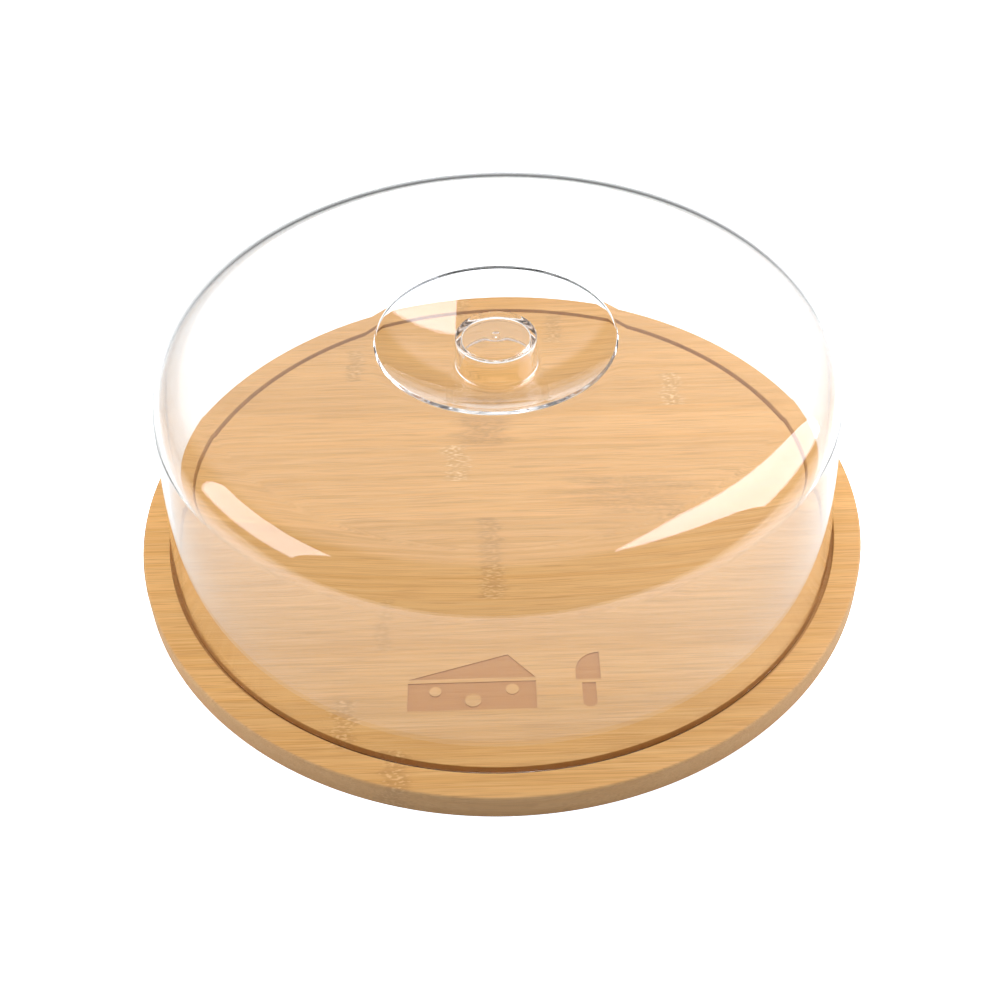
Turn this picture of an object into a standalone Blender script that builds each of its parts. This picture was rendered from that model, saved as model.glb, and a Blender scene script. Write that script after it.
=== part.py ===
"""Cheese dome: a round bamboo board under a clear lift-off dome.

The board is glued up from parallel bamboo strips that run along X, laid at an even pitch from
the front edge, so the last strip at the back is narrower. A groove near the rim holds the
foot of the dome. The dome is one clear moulding: tapered wall, rounded shoulder,
flat top, sunken finger well and a hollow knob that ends level with the top.

Metres, +Z up. The origin is the centre of the board's underside.
"""

import math

import bmesh
import bpy

MM = 0.001

# Board
BOARD_RADIUS = 160 * MM
BOARD_THICKNESS = 12 * MM
BOARD_EDGE_RADIUS = 1.2 * MM
STRIP_WIDTH = 25 * MM
STRIP_COUNT = 13
GLUE_GAP = 0.3 * MM

# Groove turned into the board's top
GROOVE_INNER_RADIUS = 144.3 * MM
GROOVE_OUTER_RADIUS = 148.3 * MM
GROOVE_DEPTH = 3 * MM

# Engraved emblem: a wedge of cheese beside a cheese knife
EMBLEM_CENTRE_Y = -102.5 * MM
EMBLEM_HEIGHT = 28 * MM
EMBLEM_DEPTH = 0.4 * MM
LINE_GAP = 1.8 * MM
WEDGE_LEFT = -39 * MM
WEDGE_RIGHT = 12 * MM
WEDGE_RIDGE_X = 1 * MM
WEDGE_FRONT_HEIGHT = 14 * MM
# Each hole's x, height above the emblem's foot, and radius
WEDGE_HOLES = (
    (-28 * MM, 9.6 * MM, 2.4 * MM),
    (-13 * MM, 4.8 * MM, 3.2 * MM),
    (2.5 * MM, 10.0 * MM, 2.6 * MM),
)
KNIFE_X = 33 * MM
BLADE_WIDTH = 10 * MM
HANDLE_WIDTH = 5.5 * MM

# Dome, measured on its outer skin
WALL = 2.3 * MM
SEAT_CLEARANCE = 0.3 * MM
FOOT_Z = BOARD_THICKNESS - GROOVE_DEPTH + SEAT_CLEARANCE
RIM_RADIUS = 146.95 * MM
RIM_ROUNDING = 0.7 * MM
TOP_Z = 107 * MM
SHOULDER_RADIUS = 19.5 * MM
SHOULDER_OUTER_RADIUS = 141.7 * MM

# Finger well in the dome's top: part of a sphere that is centred above the dome
WELL_RADIUS = 49.4 * MM
WELL_BOWL_RADIUS = 80 * MM
WELL_LIP_RADIUS = 0.8 * MM
WELL_INNER_LIP_RADIUS = 0.2 * MM

# Knob in the middle of the well
KNOB_RADIUS = 16.7 * MM
KNOB_BASE_RADIUS = 17.2 * MM
KNOB_TOP_Z = 106.6 * MM
KNOB_EDGE_RADIUS = 0.4 * MM
KNOB_CAVITY_EDGE_RADIUS = 0.8 * MM
KNOB_FILLET = 0.8 * MM
KNOB_CAVITY_FILLET = 3.6 * MM
SPRUE_RADIUS = 2.2 * MM
SPRUE_HEIGHT = 0.2 * MM

# Steps in a full turn of the board and of the dome. They are the same, so that the flats of
# the foot and of the groove run side by side.
SEGMENTS = 72


def clear_scene():
    for old in list(bpy.data.objects):
        bpy.data.objects.remove(old, do_unlink=True)


def new_collection(name):
    collection = bpy.data.collections.new(name)
    bpy.context.scene.collection.children.link(collection)
    return collection


def new_material(name, colour, roughness, transmission=0.0):
    material = bpy.data.materials.new(name)
    material.use_nodes = True
    shader = material.node_tree.nodes["Principled BSDF"]
    shader.inputs["Base Color"].default_value = (*colour, 1)
    shader.inputs["Roughness"].default_value = roughness
    shader.inputs["Metallic"].default_value = 0
    shader.inputs["Transmission Weight"].default_value = transmission
    material.diffuse_color = (*colour, 1 - 0.7 * transmission)
    return material


def add_object(name, mesh, collection, material=None):
    obj = bpy.data.objects.new(name, mesh)
    collection.objects.link(obj)
    if material:
        mesh.materials.append(material)
    return obj


def make_helper(obj):
    """A cutter or a blank: used by Booleans and never shown."""
    obj.hide_render = True
    obj.display_type = "WIRE"
    return obj


def add_boolean(obj, other, operation):
    modifier = obj.modifiers.new(operation.title(), "BOOLEAN")
    modifier.operation = operation
    modifier.object = other
    modifier.solver = "EXACT"


def arc(centre_r, centre_z, radius, start, end, steps):
    """Points on an arc in the profile plane, angles in degrees from +r towards +z."""
    angles = [math.radians(start + (end - start) * i / steps) for i in range(steps + 1)]
    return [(centre_r + radius * math.cos(a), centre_z + radius * math.sin(a)) for a in angles]


def turned(name, outline, collection, material=None):
    """Turns a profile, listed down its outer side, about Z with a Screw modifier."""
    mesh = bpy.data.meshes.new(name)
    shape = bmesh.new()
    points = [shape.verts.new((r, 0, z)) for r, z in outline]
    closed = outline[0][0] > 0
    for a, b in zip(points, points[1:] + (points[:1] if closed else [])):
        shape.edges.new((a, b))
    shape.to_mesh(mesh)
    shape.free()
    obj = add_object(name, mesh, collection, material)
    screw = obj.modifiers.new("Turn", "SCREW")
    screw.axis = "Z"
    screw.steps = SEGMENTS
    screw.render_steps = SEGMENTS
    screw.use_merge_vertices = True
    screw.merge_threshold = 0.00001
    screw.use_smooth_shade = True
    return obj


def board_outline():
    """The board's half section, from the middle of its top round to the middle of its underside."""
    edge = BOARD_EDGE_RADIUS
    floor_z = BOARD_THICKNESS - GROOVE_DEPTH
    outline = [
        (0, BOARD_THICKNESS),
        (GROOVE_INNER_RADIUS, BOARD_THICKNESS),
        (GROOVE_INNER_RADIUS, floor_z),
        (GROOVE_OUTER_RADIUS, floor_z),
        (GROOVE_OUTER_RADIUS, BOARD_THICKNESS),
    ]
    outline += arc(BOARD_RADIUS - edge, BOARD_THICKNESS - edge, edge, 90, 0, 2)
    outline += arc(BOARD_RADIUS - edge, edge, edge, 0, -90, 2)
    outline.append((0, 0))
    return outline


def wedge_outlines():
    """A wedge of cheese seen from its side: a slab with holes, and its slanting top."""
    bottom = -EMBLEM_HEIGHT / 2
    slab_top = bottom + WEDGE_FRONT_HEIGHT
    slab = [
        (WEDGE_LEFT, bottom),
        (WEDGE_RIGHT, bottom),
        (WEDGE_RIGHT, slab_top),
        (WEDGE_LEFT, slab_top),
    ]
    top = [
        (WEDGE_LEFT, slab_top + LINE_GAP),
        (WEDGE_RIGHT, slab_top + LINE_GAP),
        (WEDGE_RIDGE_X, EMBLEM_HEIGHT / 2),
    ]
    holes = [arc(x, bottom + height, radius, 0, 360, 16)[:-1] for x, height, radius in WEDGE_HOLES]
    return [slab, top] + holes


def knife_outlines():
    """A cheese knife standing on its handle, with a slanting point."""
    half_height = EMBLEM_HEIGHT / 2
    half_handle = HANDLE_WIDTH / 2
    blade_left = KNIFE_X - BLADE_WIDTH / 2
    blade_right = KNIFE_X + BLADE_WIDTH / 2
    handle = [(KNIFE_X + half_handle, -LINE_GAP), (KNIFE_X - half_handle, -LINE_GAP)]
    handle += arc(KNIFE_X, half_handle - half_height, half_handle, 180, 360, 8)
    blade = [(blade_left, 0), (blade_right, 0)]
    blade += arc(blade_right, half_height - BLADE_WIDTH, BLADE_WIDTH, 90, 180, 6)
    return [handle, blade]


def emblem_cutter(collection):
    """The emblem's flat outlines, given thickness and joined into one cutting mesh."""
    curve = bpy.data.curves.new("emblem_outline", "CURVE")
    curve.dimensions = "2D"
    curve.fill_mode = "BOTH"
    curve.extrude = EMBLEM_DEPTH
    for outline in wedge_outlines() + knife_outlines():
        spline = curve.splines.new("POLY")
        spline.points.add(len(outline) - 1)
        for point, (x, y) in zip(spline.points, outline):
            point.co = (x, y + EMBLEM_CENTRE_Y, 0, 1)
        spline.use_cyclic_u = True
    drawn = bpy.data.objects.new("emblem_outline", curve)
    drawn.location.z = BOARD_THICKNESS
    collection.objects.link(drawn)
    bpy.context.view_layer.update()
    graph = bpy.context.evaluated_depsgraph_get()
    mesh = bpy.data.meshes.new_from_object(drawn.evaluated_get(graph))
    welded = bmesh.new()
    welded.from_mesh(mesh)
    bmesh.ops.remove_doubles(welded, verts=welded.verts, dist=0.00001)
    bmesh.ops.recalc_face_normals(welded, faces=welded.faces)
    welded.to_mesh(mesh)
    welded.free()
    cutter = add_object("emblem_cutter", mesh, collection)
    cutter.matrix_world = drawn.matrix_world.copy()
    bpy.data.objects.remove(drawn, do_unlink=True)
    return make_helper(cutter)


def build_board(parts, helpers, frame):
    """Cuts the turned, engraved blank into its strips, with the glue lines left open."""
    blank = make_helper(turned("board_blank", board_outline(), helpers))
    add_boolean(blank, emblem_cutter(helpers), "DIFFERENCE")
    tones = [
        new_material("bamboo_light", (0.76, 0.53, 0.27), 0.55),
        new_material("bamboo_dark", (0.70, 0.47, 0.23), 0.55),
    ]
    # The first strip starts outside the board's edge and the last one ends outside it.
    for index in range(STRIP_COUNT):
        low = -BOARD_RADIUS + STRIP_WIDTH * index + GLUE_GAP / 2
        high = low + STRIP_WIDTH - GLUE_GAP
        if index == 0:
            low -= GLUE_GAP
        mesh = bpy.data.meshes.new(f"board_strip_{index + 1:02d}")
        box = bmesh.new()
        bmesh.ops.create_cube(box, size=1)
        size = (2.2 * BOARD_RADIUS, high - low, 2 * BOARD_THICKNESS)
        bmesh.ops.scale(box, vec=size, verts=box.verts)
        box.to_mesh(mesh)
        box.free()
        strip = add_object(mesh.name, mesh, parts, tones[index % len(tones)])
        strip.location = (0, (low + high) / 2, BOARD_THICKNESS / 2)
        strip.parent = frame
        add_boolean(strip, blank, "INTERSECT")


def dome_skin(depth):
    """The dome's surface at this depth below its outer skin, from the knob's middle to the foot."""
    taper = (RIM_RADIUS - SHOULDER_OUTER_RADIUS) / (TOP_Z - SHOULDER_RADIUS - FOOT_Z)
    taper = math.degrees(math.atan(taper))
    knob_edge = KNOB_EDGE_RADIUS if depth == 0 else KNOB_CAVITY_EDGE_RADIUS
    knob_top = KNOB_TOP_Z - depth
    fillet = KNOB_FILLET if depth == 0 else KNOB_CAVITY_FILLET
    lip = WELL_LIP_RADIUS if depth == 0 else WELL_INNER_LIP_RADIUS
    # The sphere is placed by the rounded lip on the outer skin, and its fillet into the knob and
    # its lip at this depth both follow from it.
    bowl_z = TOP_Z - WELL_LIP_RADIUS
    bowl_z += math.sqrt((WELL_BOWL_RADIUS + WELL_LIP_RADIUS) ** 2 - WELL_RADIUS**2)
    fillet_r = KNOB_BASE_RADIUS - depth + fillet
    low_slope = math.asin(fillet_r / (WELL_BOWL_RADIUS + depth - fillet))
    fillet_z = bowl_z - (WELL_BOWL_RADIUS + depth - fillet) * math.cos(low_slope)
    lip_z = TOP_Z - depth - lip
    rim_slope = math.acos((bowl_z - lip_z) / (WELL_BOWL_RADIUS + depth + lip))
    lip_r = (WELL_BOWL_RADIUS + depth + lip) * math.sin(rim_slope)
    low, high = math.degrees(low_slope), math.degrees(rim_slope)
    shoulder_r = SHOULDER_OUTER_RADIUS - SHOULDER_RADIUS
    skin = arc(KNOB_RADIUS - depth - knob_edge, knob_top - knob_edge, knob_edge, 90, 2, 2)
    skin += arc(fillet_r, fillet_z, fillet, 182, 270 + low, 3)
    skin += arc(0, bowl_z, WELL_BOWL_RADIUS + depth, 270 + low, 270 + high, 5)[1:]
    skin += arc(lip_r, lip_z, lip, 90 + high, 90, 3 if depth == 0 else 1)[1:]
    skin += arc(shoulder_r, TOP_Z - SHOULDER_RADIUS, SHOULDER_RADIUS - depth, 90, taper, 7)
    return skin


def dome_outline():
    """The dome's closed half section: sprue mark, outer skin, rounded foot, inner skin."""
    sprue_z = KNOB_TOP_Z + SPRUE_HEIGHT
    sprue = [(0, sprue_z), (0.6 * SPRUE_RADIUS, sprue_z), (SPRUE_RADIUS, KNOB_TOP_Z)]
    inner = dome_skin(WALL) + [(RIM_RADIUS - WALL, FOOT_Z + RIM_ROUNDING)]
    foot = arc(RIM_RADIUS - RIM_ROUNDING, FOOT_Z + RIM_ROUNDING, RIM_ROUNDING, 0, -90, 2)
    foot += arc(RIM_RADIUS - WALL + RIM_ROUNDING, FOOT_Z + RIM_ROUNDING, RIM_ROUNDING, 270, 180, 2)[:-1]
    return sprue + dome_skin(0) + foot + inner[::-1] + [(0, KNOB_TOP_Z - WALL)]


def build_dome(parts, frame):
    lift = bpy.data.objects.new("dome_lift", None)
    lift.empty_display_type = "SINGLE_ARROW"
    lift.empty_display_size = 0.05
    parts.objects.link(lift)
    lift.parent = frame
    plastic = new_material("clear_plastic", (0.95, 0.96, 0.97), 0.04, transmission=1.0)
    dome = turned("dome", dome_outline(), parts, plastic)
    dome.parent = lift


def main():
    clear_scene()
    parts = new_collection("cheese_dome")
    helpers = new_collection("cutters")
    frame = bpy.data.objects.new("cheese_dome_frame", None)
    parts.objects.link(frame)
    build_board(parts, helpers, frame)
    build_dome(parts, frame)


main()
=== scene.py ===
"""The looks of the cheese dome: a round bamboo board under a clear lift-off dome.

Every size is in metres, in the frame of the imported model. The board's strips are cut from one
fine turned blank, and the dome is one fine turned moulding, so both keep the model's shape.
"""

import math
import random

import bmesh
import bpy
from mathutils import Matrix, Vector


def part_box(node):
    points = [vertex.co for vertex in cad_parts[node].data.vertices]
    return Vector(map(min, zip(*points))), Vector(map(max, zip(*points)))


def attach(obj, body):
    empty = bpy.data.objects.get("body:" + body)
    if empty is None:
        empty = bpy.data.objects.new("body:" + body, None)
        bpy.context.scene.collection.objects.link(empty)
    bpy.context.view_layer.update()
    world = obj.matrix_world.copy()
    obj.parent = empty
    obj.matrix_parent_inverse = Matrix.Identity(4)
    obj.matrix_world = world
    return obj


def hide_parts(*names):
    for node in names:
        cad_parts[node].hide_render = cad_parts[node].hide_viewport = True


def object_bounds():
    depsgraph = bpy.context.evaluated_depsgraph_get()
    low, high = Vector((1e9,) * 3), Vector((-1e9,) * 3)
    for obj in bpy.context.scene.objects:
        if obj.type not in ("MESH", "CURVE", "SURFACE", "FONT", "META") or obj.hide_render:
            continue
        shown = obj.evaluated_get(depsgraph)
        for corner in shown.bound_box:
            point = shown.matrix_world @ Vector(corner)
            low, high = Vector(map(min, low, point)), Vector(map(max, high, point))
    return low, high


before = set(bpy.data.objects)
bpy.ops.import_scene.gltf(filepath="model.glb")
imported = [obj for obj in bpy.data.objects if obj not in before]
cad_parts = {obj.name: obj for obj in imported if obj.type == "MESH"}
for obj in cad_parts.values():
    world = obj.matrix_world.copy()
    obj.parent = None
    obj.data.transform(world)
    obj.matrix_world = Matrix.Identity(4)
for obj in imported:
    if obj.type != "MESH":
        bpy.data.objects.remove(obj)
cad_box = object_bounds()

MM = 0.001
# Steps in a full turn, the longest straight run of the dome's profile, and what counts as one point
BOARD_STEPS = 360
DOME_STEPS = 256
PROFILE_STEP = 4 * MM
SAME_POINT = 0.001 * MM
# How far the cutting blocks reach, as a share of the board
CUT_REACH = 1.1

# Board, from the frame
STRIP_NAMES = sorted(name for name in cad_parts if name.startswith("board_strip"))
MIDDLE_STRIP = max(STRIP_NAMES, key=lambda name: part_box(name)[1].x)
BOARD_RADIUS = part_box(MIDDLE_STRIP)[1].x
BOARD_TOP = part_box(MIDDLE_STRIP)[1].z
BOARD_EDGE_RADIUS = 1.2 * MM
JOINT_GAP = 0.02 * MM

# Groove in the board's top
GROOVE_INNER_RADIUS = 144.3 * MM
GROOVE_OUTER_RADIUS = 148.3 * MM
GROOVE_DEPTH = 3 * MM
GROOVE_ARRIS = 0.25 * MM
GROOVE_MIDDLE_RADIUS = (GROOVE_INNER_RADIUS + GROOVE_OUTER_RADIUS) / 2
GROOVE_HALF_WIDTH = (GROOVE_OUTER_RADIUS - GROOVE_INNER_RADIUS) / 2

# Engraved emblem: a wedge of cheese beside a cheese knife
EMBLEM_CENTRE_Y = -102.5 * MM
EMBLEM_HEIGHT = 28 * MM
EMBLEM_DEPTH = 0.4 * MM
LINE_GAP = 1.8 * MM
WEDGE_LEFT = -39 * MM
WEDGE_RIGHT = 12 * MM
WEDGE_RIDGE_X = 1 * MM
WEDGE_FRONT_HEIGHT = 14 * MM
# Each hole's x, height above the emblem's foot, and radius
WEDGE_HOLES = (
    (-28 * MM, 9.6 * MM, 2.4 * MM),
    (-13 * MM, 4.8 * MM, 3.2 * MM),
    (2.5 * MM, 10.0 * MM, 2.6 * MM),
)
KNIFE_X = 33 * MM
BLADE_WIDTH = 10 * MM
HANDLE_WIDTH = 5.5 * MM

# Dome, from the frame and measured on its outer skin
WALL = 2.3 * MM
FOOT_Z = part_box("dome")[0].z
RIM_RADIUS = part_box("dome")[1].x
TOP_Z = cad_box[1][2]
RIM_ROUNDING = 0.7 * MM
SHOULDER_RADIUS = 19.5 * MM
SHOULDER_OUTER_RADIUS = 141.7 * MM
WELL_RADIUS = 49.4 * MM
WELL_LIP_RADIUS = 0.8 * MM
WELL_INNER_LIP_RADIUS = 0.2 * MM
WELL_BOWL_RADIUS = 80 * MM
KNOB_RADIUS = 16.7 * MM
KNOB_BASE_RADIUS = 17.2 * MM
KNOB_TOP_Z = 106.6 * MM
KNOB_EDGE_RADIUS = 0.4 * MM
KNOB_CAVITY_EDGE_RADIUS = 0.8 * MM
KNOB_FILLET = 0.8 * MM
KNOB_CAVITY_FILLET = 3.6 * MM
SPRUE_RADIUS = 2.2 * MM
SPRUE_HEIGHT = 0.2 * MM

# Bamboo's colours, linear
BAMBOO_PALE = (0.85, 0.465, 0.170)
BAMBOO_GOLD = (0.79, 0.405, 0.125)
BAMBOO_LIGHT = (0.93, 0.62, 0.31)
BAMBOO_DASH = (0.46, 0.20, 0.050)
BAMBOO_NODE = (0.40, 0.18, 0.05)
BAMBOO_BURNT = (0.56, 0.235, 0.060)
# Painted shade: the groove's colour, darker than the top, stands in for the shade that falls in it
BAMBOO_GROOVE_SHADE = (0.44, 0.19, 0.050)
# Painted shade and sheen: the turned side's darker, greyer colour stands in for its shade and pale
# sheen
BAMBOO_SIDE_SHADE = (0.42, 0.31, 0.21)
BAMBOO_SPECULAR = 0.25
# Each kind of streak's length and width, and how much of its colour shows
BAND_SIZE = (400 * MM, 3 * MM)
FIBRE_SIZE = (60 * MM, 0.6 * MM)
PALE_FIBRE_SIZE = (40 * MM, 0.6 * MM)
DASH_SIZE = (24 * MM, 0.4 * MM)
NODE_EDGE_SIZE = (50 * MM, 4 * MM)
SPECK_SIZE = (2.2 * MM, 0.8 * MM)
SCORCH_SIZE = (20 * MM, 1 * MM)
FIBRE_TONES = (0.95, 1.04)
FIBRE_ROUGHNESS = (0.60, 0.50)
PALE_FIBRE_SHARE = 0.20
DASH_SHARE = 0.36
# How much of the painted shade in the groove shows
GROOVE_SHADE_SHARE = 0.60
# How much of the painted shade and sheen on the turned side shows
SIDE_SHADE_SHARE = 0.45
FIBRE_BUMP = 0.1 * MM
FIBRE_BUMP_STRENGTH = 0.25
# Tones of the light and dark strips, and how far each strip strays from its own
LIGHT_TONE = 1.01
DARK_TONE = 0.985
TONE_SPREAD = 0.025
TONE_SEED = 4
# Painted shade: the board is painted darker towards the front, where less light falls
# Tone of the front strip. The strips get lighter from there, up to this share of the way back
FRONT_SHADE_TONE = 0.88
FRONT_SHADE_REACH = 1 / 1.6
# Strips counted from the front. Where a culm node crosses the strip, its width, how far it
# darkens the strip, and how bright its specks are
NODE_MARKS = {
    0: (-44 * MM, 10 * MM, 0.35, 0.4),
    1: (-63 * MM, 10 * MM, 0.35, 0.4),
    3: (-50 * MM, 6 * MM, 0.25, 0.2),
    4: (-4 * MM, 11 * MM, 0.35, 0.4),
    5: (-5 * MM, 10 * MM, 0.40, 0.2),
    6: (62 * MM, 60 * MM, 0.32, 0.0),
    7: (-20 * MM, 12 * MM, 0.20, 1.0),
    8: (-7 * MM, 24 * MM, 0.50, 0.0),
    9: (85 * MM, 10 * MM, 0.20, 1.0),
    10: (-72 * MM, 9 * MM, 0.35, 0.4),
    11: (30 * MM, 9 * MM, 0.35, 0.4),
    12: (-18 * MM, 9 * MM, 0.35, 0.4),
}
NO_MARK = (-2 * BOARD_RADIUS, 1 * MM, 0.0, 0.0)

# Clear plastic. Its shade is the share it lets through of light from lamps and of soft light
PLASTIC_COLOUR = (0.985, 0.99, 0.99)
PLASTIC_IOR = 1.49
PLASTIC_SHADE = (0.96, 0.97, 0.97)

# Table: its edges, how far it lies below the board, its paint, and how much it glows
TABLE_FRONT_Y = -0.34
TABLE_REACH = 6.0
TABLE_DROP = 0.05 * MM
TABLE_COLOUR = (0.85, 0.85, 0.85)
TABLE_ROUGHNESS = 0.9
TABLE_GLOW = (0.90, 0.97, 1.05)
TABLE_GLOW_FRONT = 0.95
TABLE_GLOW_UNDER = 0.05
TABLE_GLOW_BACK = 0.60
TABLE_GLOW_SEEN = 1.25
# The share of the glow that is left beside the board, to its back left, and far from it
TABLE_BESIDE = 0.35
TABLE_BACK_LEFT = 0.15
TABLE_FAR = 0.15
# Where each of those comes in: along x or y, or by distance from the middle of the board
CLEAR_OF_BOARD = (0.17, 0.30)
FRONT_TO_BESIDE_Y = (-0.16, 0.02)
FRONT_TO_BACK_Y = (-0.10, 0.10)
LEFT_TO_MIDDLE_X = (-0.25, -0.11)
NEAR_TO_FAR = (0.34, 0.52)

# Room round the table, by direction
ROOM_FRONT = 0.12
ROOM_BEHIND = 0.20
BACKDROP_MIDDLE = 1.05
BACKDROP_SIDES = 0.30
ROOM_FRONT_TO_BEHIND_Y = (-0.65, -0.10)
BACKDROP_STARTS_Y = (-0.25, 0.25)
BACKDROP_FOOT_Z = (0.33, 0.50)
BACKDROP_EDGE_X = (0.50, 0.85)

# Tint of the lamps that the dome reflects, and how often light may turn inside its wall
GLEAM_TINT = (0.92, 0.98, 1.09)
WALL_BOUNCES = 48

# Camera: distance from the middle of the board's underside, elevation, and small aiming angles,
# then the lens and the sensor's width in millimetres, and the nearest thing it sees
CAMERA_DISTANCE = 0.66154
CAMERA_ELEVATION = math.radians(44.16)
CAMERA_YAW = 0.0004
CAMERA_PITCH = -0.01564
CAMERA_ROLL = 0.0288
CAMERA_LENS = 51.97
CAMERA_SENSOR = 36
CAMERA_NEAREST = 10 * MM


def arc(centre_r, centre_z, radius, start, end, steps):
    """Points on an arc in the profile plane, angles in degrees from +r towards +z."""
    angles = [math.radians(start + (end - start) * i / steps) for i in range(steps + 1)]
    return [(centre_r + radius * math.cos(a), centre_z + radius * math.sin(a)) for a in angles]


def add_object(name, mesh):
    obj = bpy.data.objects.new(name, mesh)
    bpy.context.scene.collection.objects.link(obj)
    return obj


def evaluated_mesh(obj):
    bpy.context.view_layer.update()
    graph = bpy.context.evaluated_depsgraph_get()
    return bpy.data.meshes.new_from_object(obj.evaluated_get(graph))


def close_spaced(outline, longest):
    """The same outline with its long straight runs split, so that smooth shading stays true on them."""
    points = outline[:1]
    for (r0, z0), (r1, z1) in zip(outline, outline[1:]):
        parts = max(1, math.ceil(math.hypot(r1 - r0, z1 - z0) / longest))
        steps = [(i + 1) / parts for i in range(parts)]
        points += [(r0 + (r1 - r0) * t, z0 + (z1 - z0) * t) for t in steps]
    return points


def turned_mesh(name, outline, steps):
    """A profile, listed down its outer side, turned about Z. Open ends off the axis are filled flat."""
    mesh = bpy.data.meshes.new(name)
    shape = bmesh.new()
    points = [shape.verts.new((r, 0, z)) for r, z in outline]
    for a, b in zip(points, points[1:]):
        shape.edges.new((a, b))
    shape.to_mesh(mesh)
    shape.free()
    profile = add_object(name, mesh)
    screw = profile.modifiers.new("Turn", "SCREW")
    screw.axis = "Z"
    screw.steps = steps
    screw.render_steps = steps
    screw.use_merge_vertices = True
    screw.merge_threshold = SAME_POINT
    turned = evaluated_mesh(profile)
    bpy.data.objects.remove(profile, do_unlink=True)
    shape = bmesh.new()
    shape.from_mesh(turned)
    bmesh.ops.holes_fill(shape, edges=[e for e in shape.edges if e.is_boundary], sides=0)
    bmesh.ops.recalc_face_normals(shape, faces=shape.faces)
    shape.to_mesh(turned)
    shape.free()
    return turned


def shade_smooth(mesh, angle):
    mesh.shade_smooth()
    mesh.set_sharp_from_angle(angle=math.radians(angle))


def cut(target, cutter, operation):
    modifier = target.modifiers.new("Cut", "BOOLEAN")
    modifier.operation = operation
    modifier.object = cutter
    modifier.solver = "EXACT"
    mesh = evaluated_mesh(target)
    target.modifiers.clear()
    target.data = mesh


# ---------------------------------------------------------------- materials

def add_node(tree, kind, **settings):
    made = tree.nodes.new(kind)
    for name, value in settings.items():
        setattr(made, name, value)
    return made


def math_node(tree, operation, a, b=0.0):
    made = add_node(tree, "ShaderNodeMath", operation=operation)
    for socket, value in zip(made.inputs, (a, b)):
        if isinstance(value, bpy.types.NodeSocket):
            tree.links.new(value, socket)
        else:
            socket.default_value = value
    return made.outputs[0]


def remap(tree, value, low, high, to_low=0.0, to_high=1.0):
    made = add_node(tree, "ShaderNodeMapRange", interpolation_type="SMOOTHSTEP")
    tree.links.new(value, made.inputs["Value"])
    made.inputs["From Min"].default_value = low
    made.inputs["From Max"].default_value = high
    made.inputs["To Min"].default_value = to_low
    made.inputs["To Max"].default_value = to_high
    return made.outputs["Result"]


def blend(tree, factor, a, b, kind="MIX"):
    """Two colours mixed. A Mix node keeps its factor and its two colours in inputs 0, 6 and 7."""
    made = add_node(tree, "ShaderNodeMix", data_type="RGBA", blend_type=kind)
    for socket, value in zip((made.inputs[0], made.inputs[6], made.inputs[7]), (factor, a, b)):
        if isinstance(value, bpy.types.NodeSocket):
            tree.links.new(value, socket)
        elif isinstance(value, tuple):
            socket.default_value = (*value, 1)
        else:
            socket.default_value = value
    return made.outputs[2]


def new_material(name):
    """A material with its node tree and its Principled shader."""
    material = bpy.data.materials.new(name)
    material.use_nodes = True
    tree = material.node_tree
    return material, tree, tree.nodes["Principled BSDF"]


def coordinates(tree, place):
    made = add_node(tree, "ShaderNodeSeparateXYZ")
    tree.links.new(place, made.inputs[0])
    return made.outputs


def distance(tree, place):
    made = add_node(tree, "ShaderNodeVectorMath", operation="LENGTH")
    tree.links.new(place, made.inputs[0])
    return made.outputs["Value"]


def grain(tree, place, size, seed, detail=2):
    """Noise drawn out along X, in streaks of about this length and width."""
    length, width = size
    spread = add_node(tree, "ShaderNodeMapping")
    spread.inputs["Scale"].default_value = (1 / length, 1 / width, 1 / width)
    spread.inputs["Location"].default_value = (seed * 7.3, seed * 11.9, seed * 3.7)
    noise = add_node(tree, "ShaderNodeTexNoise")
    noise.inputs["Scale"].default_value = 1
    noise.inputs["Detail"].default_value = detail
    tree.links.new(place, spread.inputs["Vector"])
    tree.links.new(spread.outputs["Vector"], noise.inputs["Vector"])
    return noise.outputs["Fac"]


def fibre_colour(tree, place, tone, seed):
    """Sawn bamboo's colour, with the fine fibres and the dark dashes that also shape its surface."""
    broad = remap(tree, grain(tree, place, BAND_SIZE, seed), 0.30, 0.70)
    colour = blend(tree, broad, BAMBOO_GOLD, BAMBOO_PALE)
    colour = blend(tree, 1.0, colour, (tone, tone * 0.995, tone * 0.98), "MULTIPLY")
    fibre = remap(tree, grain(tree, place, FIBRE_SIZE, seed + 20), 0.3, 0.7, *FIBRE_TONES)
    fibre_grey = add_node(tree, "ShaderNodeCombineColor")
    for socket in fibre_grey.inputs:
        tree.links.new(fibre, socket)
    colour = blend(tree, 1.0, colour, fibre_grey.outputs[0], "MULTIPLY")
    pale = remap(tree, grain(tree, place, PALE_FIBRE_SIZE, seed + 30, 1), 0.58, 0.68)
    colour = blend(tree, math_node(tree, "MULTIPLY", pale, PALE_FIBRE_SHARE), colour, BAMBOO_LIGHT)
    dash = remap(tree, grain(tree, place, DASH_SIZE, seed + 40, 0), 0.58, 0.64)
    colour = blend(tree, math_node(tree, "MULTIPLY", dash, DASH_SHARE), colour, BAMBOO_DASH)
    return colour, fibre, dash


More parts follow.
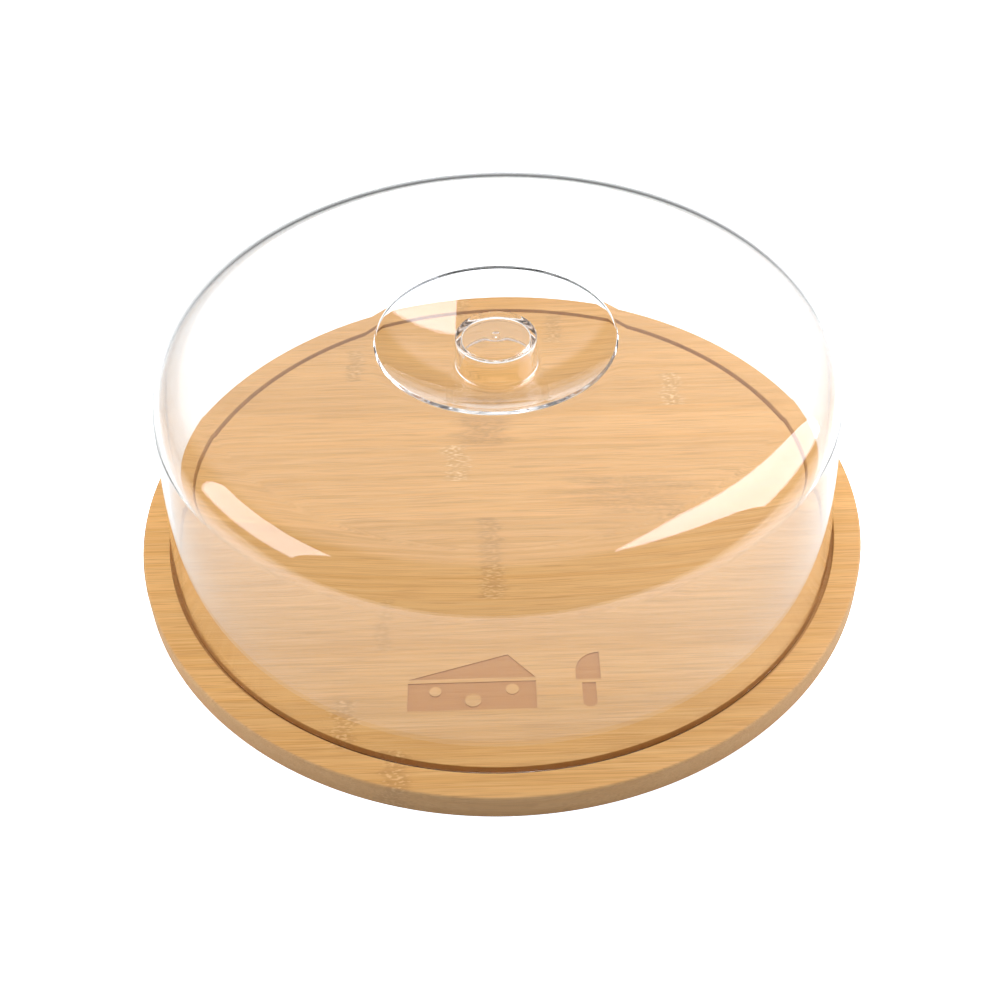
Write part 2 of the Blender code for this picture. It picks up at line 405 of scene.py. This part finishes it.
def add_culm_node(tree, place, x, colour, mark, seed):
    """The colour with a culm node across the strip: a darker band with bright and dark specks."""
    centre, width, darkness, brightness = mark
    wobble = remap(tree, grain(tree, place, NODE_EDGE_SIZE, seed + 60), 0.2, 0.8, -0.3, 0.3)
    off = math_node(tree, "SUBTRACT", x, centre)
    off = math_node(tree, "ADD", off, math_node(tree, "MULTIPLY", wobble, width))
    band = remap(tree, math_node(tree, "ABSOLUTE", off), width * 0.25, width * 0.65, 1.0, 0.0)
    specks = grain(tree, place, SPECK_SIZE, seed + 80, 1)
    dark = math_node(tree, "MULTIPLY", remap(tree, specks, 0.62, 0.40, 0.3, 1.0), band)
    colour = blend(tree, math_node(tree, "MULTIPLY", dark, darkness), colour, BAMBOO_NODE)
    bright = math_node(tree, "MULTIPLY", remap(tree, specks, 0.54, 0.64), band)
    return blend(tree, math_node(tree, "MULTIPLY", bright, brightness), colour, BAMBOO_LIGHT)


def add_groove_and_side_shade(tree, place, z, colour):
    """Paints shade into the groove, and shade and a pale sheen onto the board's turned side."""
    across = add_node(tree, "ShaderNodeVectorMath", operation="MULTIPLY")
    across.inputs[1].default_value = (1, 1, 0)
    tree.links.new(place, across.inputs[0])
    radius = distance(tree, across.outputs[0])
    off_middle = math_node(tree, "SUBTRACT", radius, GROOVE_MIDDLE_RADIUS)
    off_middle = math_node(tree, "ABSOLUTE", off_middle)
    inside = remap(tree, off_middle, GROOVE_HALF_WIDTH, GROOVE_HALF_WIDTH + GROOVE_ARRIS, 1.0, 0.0)
    deep = remap(tree, z, BOARD_TOP - 2 * GROOVE_ARRIS, BOARD_TOP, 1.0, 0.0)
    # Painted shade inside the groove
    groove_shade = math_node(tree, "MULTIPLY", math_node(tree, "MULTIPLY", inside, deep), GROOVE_SHADE_SHARE)
    colour = blend(tree, groove_shade, colour, BAMBOO_GROOVE_SHADE)
    # Painted shade and sheen: the turned side is painted darker and greyer than the top
    side = remap(tree, radius, BOARD_RADIUS - BOARD_EDGE_RADIUS, BOARD_RADIUS, 0.0, SIDE_SHADE_SHARE)
    return blend(tree, side, colour, BAMBOO_SIDE_SHADE)


def bamboo_material(name, tone, seed, mark, burnt=False):
    """One strip of bamboo, its fibres along X, either sanded or burnt by engraving."""
    material, tree, shader = new_material(name)
    place = add_node(tree, "ShaderNodeTexCoord").outputs["Object"]
    x, _, z = coordinates(tree, place)

    colour, fibre, dash = fibre_colour(tree, place, tone, seed)
    colour = add_culm_node(tree, place, x, colour, mark, seed)
    if burnt:
        scorch = remap(tree, grain(tree, place, SCORCH_SIZE, seed + 90), 0.3, 0.7, 0.80, 1.0)
        colour = blend(tree, scorch, colour, BAMBOO_BURNT)
    colour = add_groove_and_side_shade(tree, place, z, colour)
    tree.links.new(colour, shader.inputs["Base Color"])
    shader.inputs["Specular IOR Level"].default_value = BAMBOO_SPECULAR

    gloss = remap(tree, fibre, *FIBRE_TONES, *FIBRE_ROUGHNESS)
    tree.links.new(gloss, shader.inputs["Roughness"])
    bump = add_node(tree, "ShaderNodeBump")
    bump.inputs["Strength"].default_value = FIBRE_BUMP_STRENGTH
    bump.inputs["Distance"].default_value = FIBRE_BUMP
    tree.links.new(math_node(tree, "SUBTRACT", fibre, dash), bump.inputs["Height"])
    tree.links.new(bump.outputs["Normal"], shader.inputs["Normal"])
    return material


def plastic_material():
    """Clear moulded plastic that lets lamps and soft light through to what it covers."""
    material, tree, shader = new_material("clear_plastic")
    shader.inputs["Base Color"].default_value = (*PLASTIC_COLOUR, 1)
    shader.inputs["Roughness"].default_value = 0.0
    shader.inputs["IOR"].default_value = PLASTIC_IOR
    shader.inputs["Transmission Weight"].default_value = 1.0
    rays = add_node(tree, "ShaderNodeLightPath")
    output = tree.nodes["Material Output"]
    shown = shader.outputs["BSDF"]
    for ray in ("Is Shadow Ray", "Is Diffuse Ray"):
        through = add_node(tree, "ShaderNodeBsdfTransparent")
        through.inputs["Color"].default_value = (*PLASTIC_SHADE, 1)
        choice = add_node(tree, "ShaderNodeMixShader")
        tree.links.new(rays.outputs[ray], choice.inputs[0])
        tree.links.new(shown, choice.inputs[1])
        tree.links.new(through.outputs[0], choice.inputs[2])
        shown = choice.outputs[0]
    tree.links.new(shown, output.inputs["Surface"])
    return material


# ---------------------------------------------------------------- board

def board_outline():
    """The blank's half section from its top face's edge to its underside's edge."""
    edge, arris = BOARD_EDGE_RADIUS, GROOVE_ARRIS
    floor_z = BOARD_TOP - GROOVE_DEPTH
    outline = arc(GROOVE_INNER_RADIUS - arris, BOARD_TOP - arris, arris, 90, 0, 3)
    outline += arc(GROOVE_INNER_RADIUS + arris, floor_z + arris, arris, 180, 270, 3)
    outline += arc(GROOVE_OUTER_RADIUS - arris, floor_z + arris, arris, 270, 360, 3)
    outline += arc(GROOVE_OUTER_RADIUS + arris, BOARD_TOP - arris, arris, 180, 90, 3)
    outline += arc(BOARD_RADIUS - edge, BOARD_TOP - edge, edge, 90, 0, 6)
    outline += arc(BOARD_RADIUS - edge, edge, edge, 0, -90, 6)
    return outline


def wedge_outlines():
    """A wedge of cheese seen from its side: a slab with holes, and its slanting top."""
    bottom = -EMBLEM_HEIGHT / 2
    slab_top = bottom + WEDGE_FRONT_HEIGHT
    slab = [
        (WEDGE_LEFT, bottom),
        (WEDGE_RIGHT, bottom),
        (WEDGE_RIGHT, slab_top),
        (WEDGE_LEFT, slab_top),
    ]
    top = [
        (WEDGE_LEFT, slab_top + LINE_GAP),
        (WEDGE_RIGHT, slab_top + LINE_GAP),
        (WEDGE_RIDGE_X, EMBLEM_HEIGHT / 2),
    ]
    holes = [arc(x, bottom + height, radius, 0, 360, 40)[:-1] for x, height, radius in WEDGE_HOLES]
    return [slab, top] + holes


def knife_outlines():
    """A cheese knife standing on its handle, with a slanting point."""
    half_height = EMBLEM_HEIGHT / 2
    half_handle = HANDLE_WIDTH / 2
    blade_left = KNIFE_X - BLADE_WIDTH / 2
    blade_right = KNIFE_X + BLADE_WIDTH / 2
    handle = [(KNIFE_X + half_handle, -LINE_GAP), (KNIFE_X - half_handle, -LINE_GAP)]
    handle += arc(KNIFE_X, half_handle - half_height, half_handle, 180, 360, 20)
    blade = [(blade_left, 0), (blade_right, 0)]
    blade += arc(blade_right, half_height - BLADE_WIDTH, BLADE_WIDTH, 90, 180, 20)
    return [handle, blade]


def emblem_cutter():
    curve = bpy.data.curves.new("emblem_outline", "CURVE")
    curve.dimensions = "2D"
    curve.fill_mode = "BOTH"
    curve.extrude = EMBLEM_DEPTH
    for outline in wedge_outlines() + knife_outlines():
        spline = curve.splines.new("POLY")
        spline.points.add(len(outline) - 1)
        for point, (x, y) in zip(spline.points, outline):
            point.co = (x, y + EMBLEM_CENTRE_Y, 0, 1)
        spline.use_cyclic_u = True
    drawn = bpy.data.objects.new("emblem_outline", curve)
    drawn.location.z = BOARD_TOP
    bpy.context.scene.collection.objects.link(drawn)
    mesh = evaluated_mesh(drawn)
    mesh.transform(drawn.matrix_world)
    bpy.data.objects.remove(drawn, do_unlink=True)
    welded = bmesh.new()
    welded.from_mesh(mesh)
    bmesh.ops.remove_doubles(welded, verts=welded.verts, dist=5 * SAME_POINT)
    bmesh.ops.recalc_face_normals(welded, faces=welded.faces)
    welded.to_mesh(mesh)
    welded.free()
    return add_object("emblem_cutter", mesh)


def strip_edges():
    """The y of the joints between strips, with the board's own edges outside the first and last."""
    boxes = [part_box(name) for name in STRIP_NAMES]
    joints = [(a[1].y + b[0].y) / 2 for a, b in zip(boxes, boxes[1:])]
    return [-CUT_REACH * BOARD_RADIUS] + joints + [CUT_REACH * BOARD_RADIUS]


def block_between(name, low, high):
    """A block that covers the board between these two y."""
    size = Matrix.Diagonal((2 * CUT_REACH * BOARD_RADIUS, high - low, 3 * BOARD_TOP, 1))
    middle = Matrix.Translation((0, (low + high) / 2, BOARD_TOP / 2))
    box = bmesh.new()
    bmesh.ops.create_cube(box, size=1, matrix=middle @ size)
    mesh = bpy.data.meshes.new(name)
    box.to_mesh(mesh)
    box.free()
    return mesh


def is_engraved(face):
    """Whether the face belongs to the emblem's floor or walls, which lie well inside the groove."""
    below = BOARD_TOP - face.center.z
    within = math.hypot(face.center.x, face.center.y) < 0.9 * GROOVE_INNER_RADIUS
    return within and 0.1 * EMBLEM_DEPTH < below < 1.1 * EMBLEM_DEPTH


def build_board():
    blank = add_object("board_blank", turned_mesh("board_blank", board_outline(), BOARD_STEPS))
    emblem = emblem_cutter()
    cut(blank, emblem, "DIFFERENCE")
    edges = strip_edges()
    tones = random.Random(TONE_SEED)
    front_shade_reach = FRONT_SHADE_REACH * len(STRIP_NAMES)
    for index, name in enumerate(STRIP_NAMES):
        low = edges[index] + JOINT_GAP / 2
        high = edges[index + 1] - JOINT_GAP / 2
        strip = add_object("bamboo_" + name[-8:], block_between(name, low, high))
        cut(strip, blank, "INTERSECT")
        shade_smooth(strip.data, 30)
        mark = NODE_MARKS.get(index, NO_MARK)
        dark = index % 2 == 1
        tone = (DARK_TONE if dark else LIGHT_TONE) + tones.uniform(-TONE_SPREAD, TONE_SPREAD)
        # Painted shade: strips nearer the front are painted darker, as less light reaches them
        tone *= FRONT_SHADE_TONE + (1 - FRONT_SHADE_TONE) * min(1, index / front_shade_reach)
        seed = index * 5 + 1
        number = f"{index + 1:02d}"
        strip.data.materials.clear()
        strip.data.materials.append(bamboo_material("bamboo_" + number, tone, seed, mark))
        burnt = bamboo_material("bamboo_burnt_" + number, tone, seed, mark, burnt=True)
        strip.data.materials.append(burnt)
        for face in strip.data.polygons:
            face.material_index = 1 if is_engraved(face) else 0
        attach(strip, "board")
        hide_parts(name)
    bpy.data.objects.remove(blank, do_unlink=True)
    bpy.data.objects.remove(emblem, do_unlink=True)


# ---------------------------------------------------------------- dome

def dome_skin(depth):
    """The dome's surface at this depth below its outer skin, from the knob's middle to the foot."""
    taper = (RIM_RADIUS - SHOULDER_OUTER_RADIUS) / (TOP_Z - SHOULDER_RADIUS - FOOT_Z)
    taper = math.degrees(math.atan(taper))
    knob_edge = KNOB_EDGE_RADIUS if depth == 0 else KNOB_CAVITY_EDGE_RADIUS
    fillet = KNOB_FILLET if depth == 0 else KNOB_CAVITY_FILLET
    lip = WELL_LIP_RADIUS if depth == 0 else WELL_INNER_LIP_RADIUS
    # The well is part of a sphere centred above the dome, rounded into the knob and into the top.
    bowl_z = TOP_Z - WELL_LIP_RADIUS
    bowl_z += math.sqrt((WELL_BOWL_RADIUS + WELL_LIP_RADIUS) ** 2 - WELL_RADIUS**2)
    fillet_r = KNOB_BASE_RADIUS - depth + fillet
    low_slope = math.asin(fillet_r / (WELL_BOWL_RADIUS + depth - fillet))
    fillet_z = bowl_z - (WELL_BOWL_RADIUS + depth - fillet) * math.cos(low_slope)
    lip_z = TOP_Z - depth - lip
    rim_slope = math.acos((bowl_z - lip_z) / (WELL_BOWL_RADIUS + depth + lip))
    lip_r = (WELL_BOWL_RADIUS + depth + lip) * math.sin(rim_slope)
    low, high = math.degrees(low_slope), math.degrees(rim_slope)
    shoulder_r = SHOULDER_OUTER_RADIUS - SHOULDER_RADIUS
    skin = arc(KNOB_RADIUS - depth - knob_edge, KNOB_TOP_Z - depth - knob_edge, knob_edge, 90, 2, 8)
    skin += arc(fillet_r, fillet_z, fillet, 182, 270 + low, 10)
    skin += arc(0, bowl_z, WELL_BOWL_RADIUS + depth, 270 + low, 270 + high, 24)[1:]
    skin += arc(lip_r, lip_z, lip, 90 + high, 90, 12 if depth == 0 else 4)[1:]
    skin += arc(shoulder_r, TOP_Z - SHOULDER_RADIUS, SHOULDER_RADIUS - depth, 90, taper, 32)
    return skin


def dome_outline():
    """The dome's closed half section: sprue mark, outer skin, rounded foot, inner skin."""
    sprue_z = KNOB_TOP_Z + SPRUE_HEIGHT
    sprue = [(0, sprue_z), (0.6 * SPRUE_RADIUS, sprue_z), (SPRUE_RADIUS, KNOB_TOP_Z)]
    inner = dome_skin(WALL) + [(RIM_RADIUS - WALL, FOOT_Z + RIM_ROUNDING)]
    foot = arc(RIM_RADIUS - RIM_ROUNDING, FOOT_Z + RIM_ROUNDING, RIM_ROUNDING, 0, -90, 5)
    foot += arc(RIM_RADIUS - WALL + RIM_ROUNDING, FOOT_Z + RIM_ROUNDING, RIM_ROUNDING, 270, 180, 5)[:-1]
    return sprue + dome_skin(0) + foot + inner[::-1] + [(0, KNOB_TOP_Z - WALL)]


def build_dome():
    outline = close_spaced(dome_outline(), PROFILE_STEP)
    dome = add_object("clear_dome", turned_mesh("clear_dome", outline, DOME_STEPS))
    shade_smooth(dome.data, 40)
    dome.data.materials.append(plastic_material())
    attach(dome, "dome")
    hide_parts("dome")


# ---------------------------------------------------------------- studio

def table_glow(tree):
    """How strongly the table glows at each spot, which depends on what sees it too."""
    place = add_node(tree, "ShaderNodeTexCoord").outputs["Object"]
    x, y, _ = coordinates(tree, place)
    reach = distance(tree, place)
    front = remap(tree, reach, *CLEAR_OF_BOARD, 0.0, TABLE_GLOW_FRONT)
    front = math_node(tree, "MULTIPLY", front, remap(tree, y, *FRONT_TO_BESIDE_Y, 1.0, TABLE_BESIDE))
    back = remap(tree, y, *FRONT_TO_BACK_Y, TABLE_GLOW_UNDER, TABLE_GLOW_BACK)
    back = math_node(tree, "MULTIPLY", back, remap(tree, x, *LEFT_TO_MIDDLE_X, TABLE_BACK_LEFT, 1.0))
    glow = math_node(tree, "MAXIMUM", front, back)
    glow = math_node(tree, "MULTIPLY", glow, remap(tree, reach, *NEAR_TO_FAR, 1.0, TABLE_FAR))
    rays = add_node(tree, "ShaderNodeLightPath")
    seen = math_node(tree, "MULTIPLY", rays.outputs["Is Camera Ray"], TABLE_GLOW_SEEN)
    glow = math_node(tree, "MAXIMUM", glow, seen)
    # Rays that have left a matt surface don't pick up the glow
    picked_up = math_node(tree, "SUBTRACT", 1.0, rays.outputs["Is Diffuse Ray"])
    return math_node(tree, "MULTIPLY", glow, picked_up)


def table_material():
    """White paint that glows, so that it stays white."""
    material, tree, shader = new_material("white_table")
    shader.inputs["Base Color"].default_value = (*TABLE_COLOUR, 1)
    shader.inputs["Roughness"].default_value = TABLE_ROUGHNESS
    shader.inputs["Emission Color"].default_value = (*TABLE_GLOW, 1)
    tree.links.new(table_glow(tree), shader.inputs["Emission Strength"])
    return material


def build_floor():
    """A white table whose front edge is near the camera."""
    mesh = bpy.data.meshes.new("studio_floor")
    shape = bmesh.new()
    stretch = Matrix.Diagonal((2 * TABLE_REACH, TABLE_REACH - TABLE_FRONT_Y, 1, 1))
    middle = Matrix.Translation((0, (TABLE_REACH + TABLE_FRONT_Y) / 2, 0))
    bmesh.ops.create_grid(shape, x_segments=1, y_segments=1, size=0.5, matrix=middle @ stretch)
    shape.to_mesh(mesh)
    shape.free()
    floor = add_object("studio_floor", mesh)
    floor.location.z = -TABLE_DROP
    mesh.materials.append(table_material())


def build_world():
    """A room that is dark behind the camera and grey elsewhere, with a pale backdrop raised above
    the table behind the object. Seen directly or straight through the dome it is plain white."""
    world = bpy.data.worlds.new("studio")
    bpy.context.scene.world = world
    world.use_nodes = True
    tree = world.node_tree
    direction = add_node(tree, "ShaderNodeTexCoord").outputs["Generated"]
    x, y, z = coordinates(tree, direction)
    grey = remap(tree, y, *ROOM_FRONT_TO_BEHIND_Y, ROOM_FRONT, ROOM_BEHIND)
    raised = remap(tree, z, *BACKDROP_FOOT_Z)
    raised = math_node(tree, "MULTIPLY", remap(tree, y, *BACKDROP_STARTS_Y), raised)
    sideways = math_node(tree, "ABSOLUTE", x)
    backdrop = remap(tree, sideways, *BACKDROP_EDGE_X, BACKDROP_MIDDLE, BACKDROP_SIDES)
    strength = math_node(tree, "MAXIMUM", grey, math_node(tree, "MULTIPLY", raised, backdrop))
    # Light that only passed through clear surfaces has a Ray Depth one above its Transmission Depth
    rays = add_node(tree, "ShaderNodeLightPath")
    bounces = math_node(tree, "SUBTRACT", rays.outputs["Ray Depth"], rays.outputs["Transmission Depth"])
    straight = math_node(tree, "LESS_THAN", bounces, 1.5)
    straight = math_node(tree, "MULTIPLY", rays.outputs["Is Transmission Ray"], straight)
    strength = math_node(tree, "MAXIMUM", strength, straight)
    strength = math_node(tree, "MAXIMUM", strength, rays.outputs["Is Camera Ray"])
    background = tree.nodes["Background"]
    background.inputs["Color"].default_value = (1, 1, 1, 1)
    tree.links.new(strength, background.inputs["Strength"])


def softbox(name, azimuth, elevation, away, size, radiance, reflected=False, roll=0):
    """A rectangular lamp aimed at the object. Azimuth 0 is behind it and 90 is to its right.

    It is either seen in reflections only, or lights the object without being reflected."""
    az, el = math.radians(azimuth), math.radians(elevation)
    place = Vector((math.sin(az) * math.cos(el), math.cos(az) * math.cos(el), math.sin(el)))
    lamp = bpy.data.lights.new(name, "AREA")
    lamp.shape = "RECTANGLE"
    lamp.size, lamp.size_y = size
    lamp.energy = radiance * math.pi * lamp.size * lamp.size_y
    if reflected:
        lamp.color = GLEAM_TINT
    obj = bpy.data.objects.new(name, lamp)
    bpy.context.scene.collection.objects.link(obj)
    turn = place.to_track_quat("Z", "Y").to_matrix() @ Matrix.Rotation(math.radians(roll), 3, "Z")
    obj.matrix_world = Matrix.Translation(away * place + Vector((0, 0, BOARD_TOP))) @ turn.to_4x4()
    obj.visible_camera = False
    obj.visible_diffuse = not reflected
    obj.visible_glossy = reflected
    obj.visible_transmission = reflected


def build_lamps():
    """Two softboxes that the dome reflects, and fills from both sides that light the board."""
    softbox("left_softbox", -99.5, 29.5, 1.5, (0.95, 0.85), radiance=4.3, reflected=True, roll=8)
    softbox("right_softbox", 76.5, 42.5, 1.5, (0.90, 1.65), radiance=5.2, reflected=True, roll=-15)
    softbox("left_fill", -90, 32, 0.8, (0.5, 0.5), radiance=3.0)
    softbox("right_fill", 60, 45, 0.6, (0.5, 0.5), radiance=2.8)
    softbox("low_left_fill", -112, 12, 1.0, (0.5, 0.3), radiance=5.5)
    softbox("low_right_fill", 112, 12, 1.0, (0.5, 0.3), radiance=8.0)


def build_camera():
    data = bpy.data.cameras.new("camera")
    data.lens = CAMERA_LENS
    data.sensor_width = CAMERA_SENSOR
    data.clip_start = CAMERA_NEAREST
    camera = bpy.data.objects.new("camera", data)
    bpy.context.scene.collection.objects.link(camera)
    cos_e, sin_e = math.cos(CAMERA_ELEVATION), math.sin(CAMERA_ELEVATION)
    level = Matrix(((1, 0, 0), (0, sin_e, cos_e), (0, cos_e, -sin_e)))
    yaw = Matrix.Rotation(CAMERA_YAW, 3, "Y")
    pitch = Matrix.Rotation(-CAMERA_PITCH, 3, "X")
    roll = Matrix.Rotation(CAMERA_ROLL, 3, "Z")
    right, up, ahead = roll @ pitch @ yaw @ level
    turn = Matrix((right, up, -ahead)).transposed()
    place = Vector((0, -CAMERA_DISTANCE * cos_e, CAMERA_DISTANCE * sin_e))
    camera.matrix_world = Matrix.Translation(place) @ turn.to_4x4()
    bpy.context.scene.camera = camera


build_board()
build_dome()
build_floor()
build_world()
build_lamps()
build_camera()
bpy.context.scene.view_settings.view_transform = "Standard"
# Light runs a long way inside the dome's clear wall before it comes out.
for kind in ("max_bounces", "transmission_bounces", "glossy_bounces"):
    setattr(bpy.context.scene.cycles, kind, WALL_BOUNCES)
